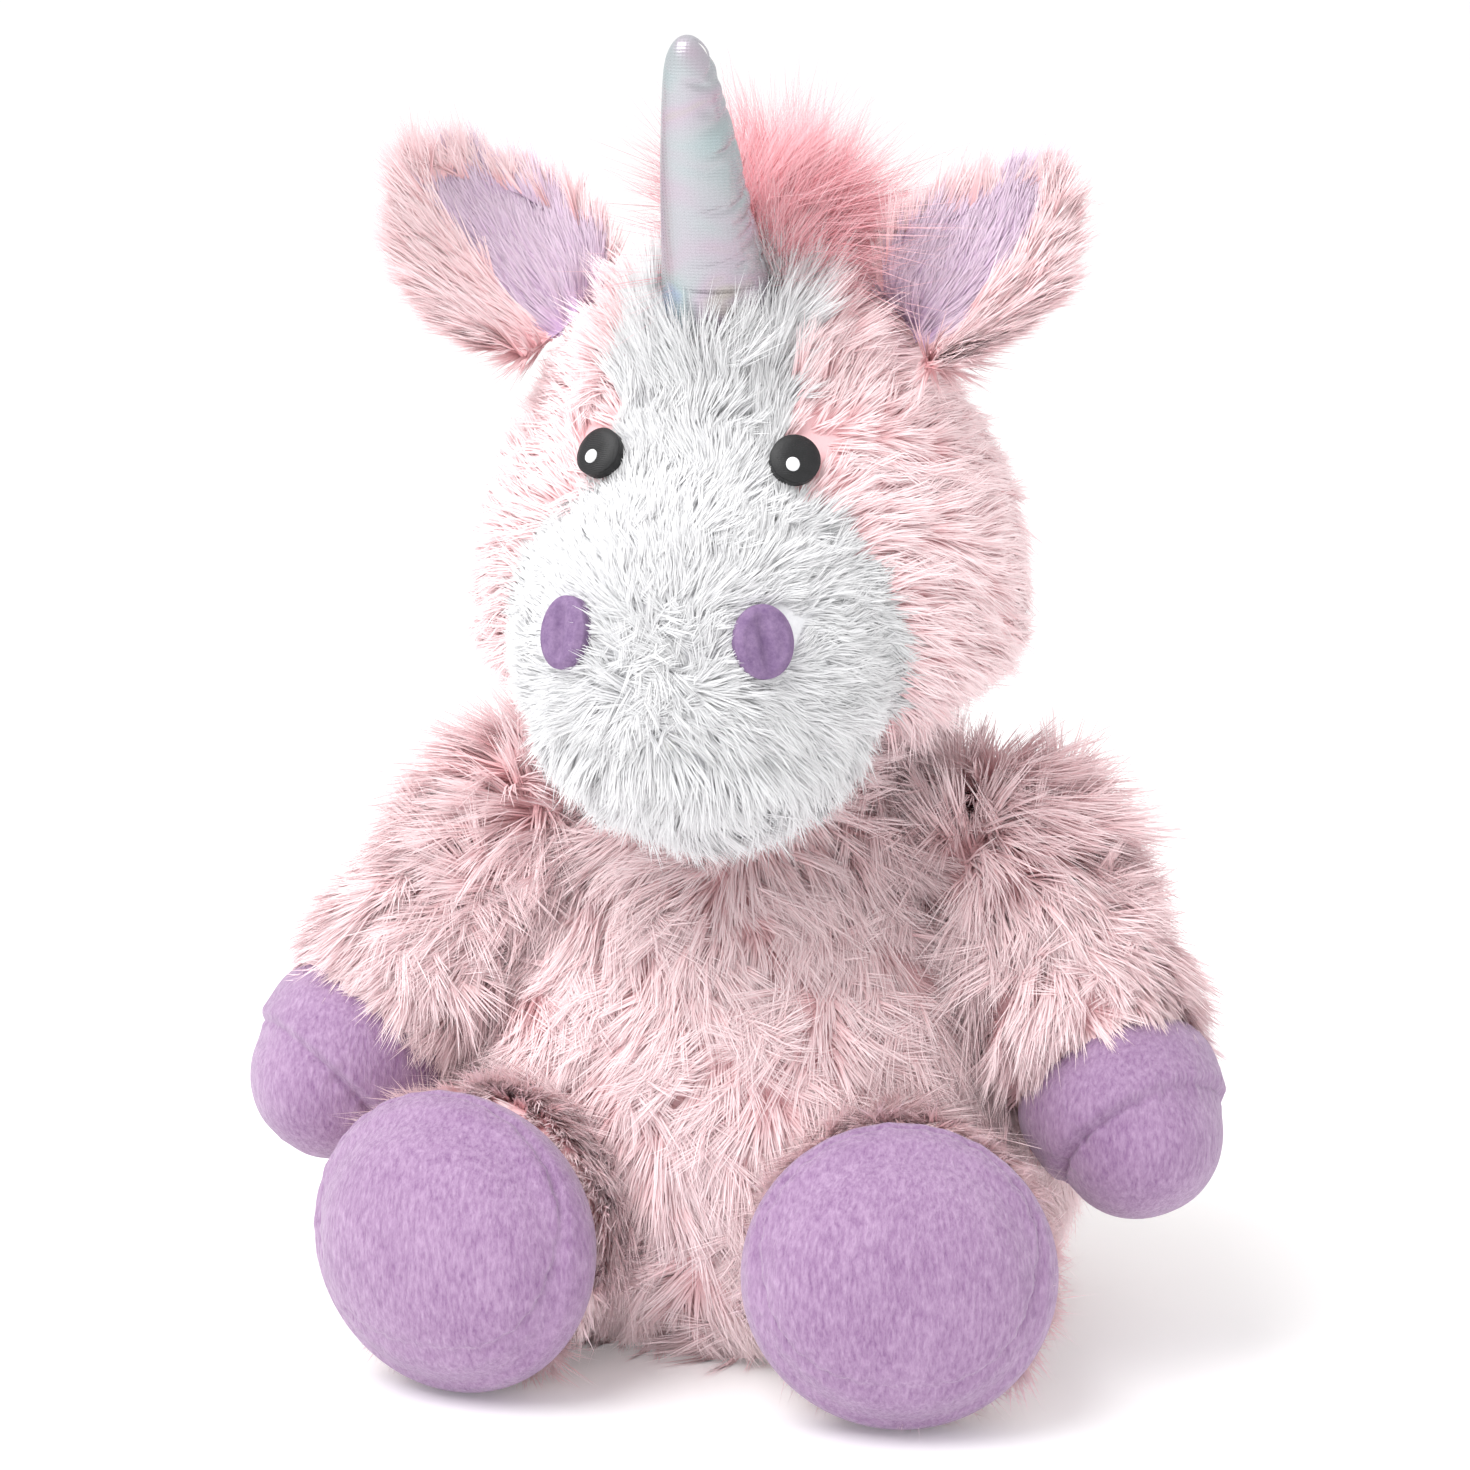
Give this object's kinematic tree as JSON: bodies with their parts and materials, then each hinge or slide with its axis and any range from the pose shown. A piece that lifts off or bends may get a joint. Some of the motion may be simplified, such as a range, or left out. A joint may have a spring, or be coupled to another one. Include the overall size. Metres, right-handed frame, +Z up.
{
  "type": "plush unicorn",
  "caption": "Seated plush unicorn: stuffed pear body with a bean pouch, turning and nodding head, swinging arms and legs with hoof pads, folding ears, soft horn, mane and tail.",
  "frame": {"origin": "on the floor, under the middle of the bounding box", "axes": "+Z up, the toy faces -Y, and its own left side is +X"},
  "size_m": [0.248, 0.2396, 0.3277],
  "materials": {
    "pink_pile": "long-pile plush, matte",
    "white_pile": "long-pile plush, matte",
    "lilac_nap": "short-nap velour, soft sheen",
    "lilac_pile": "long-pile plush, matte",
    "lame": "pearly foil-backed woven cloth",
    "pink_hair": "long fluffy hair pile",
    "felt_purple": "pressed felt",
    "thread_black": "satin-stitched embroidery",
    "thread_white": "satin-stitched embroidery",
    "thread_pink": "sewing thread and seam tape",
    "stuffing": "polyester fibre filling",
    "lining_cloth": "plain woven inner cloth",
    "bean_pellets": "small round pellets"
  },
  "bodies": {
    "body": {"belly_panel": "pink_pile", "back_panel_left": "pink_pile", "back_panel_right": "pink_pile", "base_panel": "pink_pile", "neck_panel": "pink_pile", "neck_seam": "thread_pink", "closing_seam": "thread_pink", "body_stuffing": "stuffing", "bean_pouch": "lining_cloth", "bean_fill": "bean_pellets"},
    "neck": {"neck_stuffing": "stuffing"},
    "head": {"head_side_left": "pink_pile", "head_side_right": "pink_pile", "face_panel": "white_pile", "chin_panel": "white_pile", "head_stuffing": "stuffing", "eye_left": "thread_black", "eye_right": "thread_black", "eye_glint_left": "thread_white", "eye_glint_right": "thread_white", "nostril_left": "felt_purple", "nostril_right": "felt_purple", "forelock": "pink_hair", "mane": "pink_hair"},
    "horn": {"horn_cover": "lame", "horn_stuffing": "stuffing"},
    "tail": {"tail": "pink_hair"},
    "ear_left": {"ear_left_back": "pink_pile", "ear_left_lining": "lilac_pile"},
    "arm_left_root": {"arm_left_root_wad": "stuffing"},
    "arm_left": {"arm_left_sleeve": "pink_pile", "arm_left_hoof_band": "lilac_nap", "arm_left_hoof_sole": "lilac_nap", "arm_left_stuffing": "stuffing"},
    "leg_left_root": {"leg_left_root_wad": "stuffing"},
    "leg_left": {"leg_left_sleeve": "pink_pile", "leg_left_hoof_band": "lilac_nap", "leg_left_hoof_sole": "lilac_nap", "leg_left_stuffing": "stuffing"},
    "ear_right": {"ear_right_back": "pink_pile", "ear_right_lining": "lilac_pile"},
    "arm_right_root": {"arm_right_root_wad": "stuffing"},
    "arm_right": {"arm_right_sleeve": "pink_pile", "arm_right_hoof_band": "lilac_nap", "arm_right_hoof_sole": "lilac_nap", "arm_right_stuffing": "stuffing"},
    "leg_right_root": {"leg_right_root_wad": "stuffing"},
    "leg_right": {"leg_right_sleeve": "pink_pile", "leg_right_hoof_band": "lilac_nap", "leg_right_hoof_sole": "lilac_nap", "leg_right_stuffing": "stuffing"}
  },
  "joints": [
    {"name": "head_nod", "type": "hinge", "parent": "body", "child": "neck", "pos_m": [0, -0.01123, 0.147], "axis": [1, 0, 0], "range_deg": [-10, 12]},
    {"name": "head_turn", "type": "hinge", "parent": "neck", "child": "head", "pos_m": [0, -0.01123, 0.147], "axis": [0, 0, 1], "range_deg": [-35, 35]},
    {"name": "arm_left_spread", "type": "hinge", "parent": "body", "child": "arm_left_root", "pos_m": [0.06, -0.00823, 0.121], "axis": [0, -1, 0], "range_deg": [-2, 30]},
    {"name": "arm_left_swing", "type": "hinge", "parent": "arm_left_root", "child": "arm_left", "pos_m": [0.06, -0.00823, 0.121], "axis": [-1, 0, 0], "range_deg": [-2, 35]},
    {"name": "leg_left_splay", "type": "hinge", "parent": "body", "child": "leg_left_root", "pos_m": [0.045, -0.05123, 0.0385], "axis": [0, 0, 1], "range_deg": [-6, 6]},
    {"name": "leg_left_lift", "type": "hinge", "parent": "leg_left_root", "child": "leg_left", "pos_m": [0.045, -0.05123, 0.0385], "axis": [-1, 0, 0], "range_deg": [0, 8]},
    {"name": "ear_left_fold", "type": "hinge", "parent": "head", "child": "ear_left", "pos_m": [0.04541, -0.03388, 0.25132], "axis": [-0.545, 0.627, 0.5567], "range_deg": [-12, 15], "stiffness_Nm_per_rad": 0.006},
    {"name": "arm_right_spread", "type": "hinge", "parent": "body", "child": "arm_right_root", "pos_m": [-0.06, -0.00823, 0.121], "axis": [0, 1, 0], "range_deg": [-2, 30]},
    {"name": "arm_right_swing", "type": "hinge", "parent": "arm_right_root", "child": "arm_right", "pos_m": [-0.06, -0.00823, 0.121], "axis": [-1, 0, 0], "range_deg": [-2, 35]},
    {"name": "leg_right_splay", "type": "hinge", "parent": "body", "child": "leg_right_root", "pos_m": [-0.045, -0.05123, 0.0385], "axis": [0, 0, -1], "range_deg": [-6, 6]},
    {"name": "leg_right_lift", "type": "hinge", "parent": "leg_right_root", "child": "leg_right", "pos_m": [-0.045, -0.05123, 0.0385], "axis": [-1, 0, 0], "range_deg": [0, 8]},
    {"name": "ear_right_fold", "type": "hinge", "parent": "head", "child": "ear_right", "pos_m": [-0.04541, -0.03388, 0.25132], "axis": [-0.545, -0.627, -0.5567], "range_deg": [-12, 15], "stiffness_Nm_per_rad": 0.006},
    {"name": "horn_bend", "type": "hinge", "parent": "head", "child": "horn", "pos_m": [0, -0.05223, 0.256], "axis": [1, 0, 0], "range_deg": [-12, 12], "stiffness_Nm_per_rad": 0.03},
    {"name": "tail_sway", "type": "hinge", "parent": "body", "child": "tail", "pos_m": [0, 0.08377, 0.058], "axis": [0, 0.7071, 0.7071], "range_deg": [-20, 20], "stiffness_Nm_per_rad": 0.006}
  ]
}
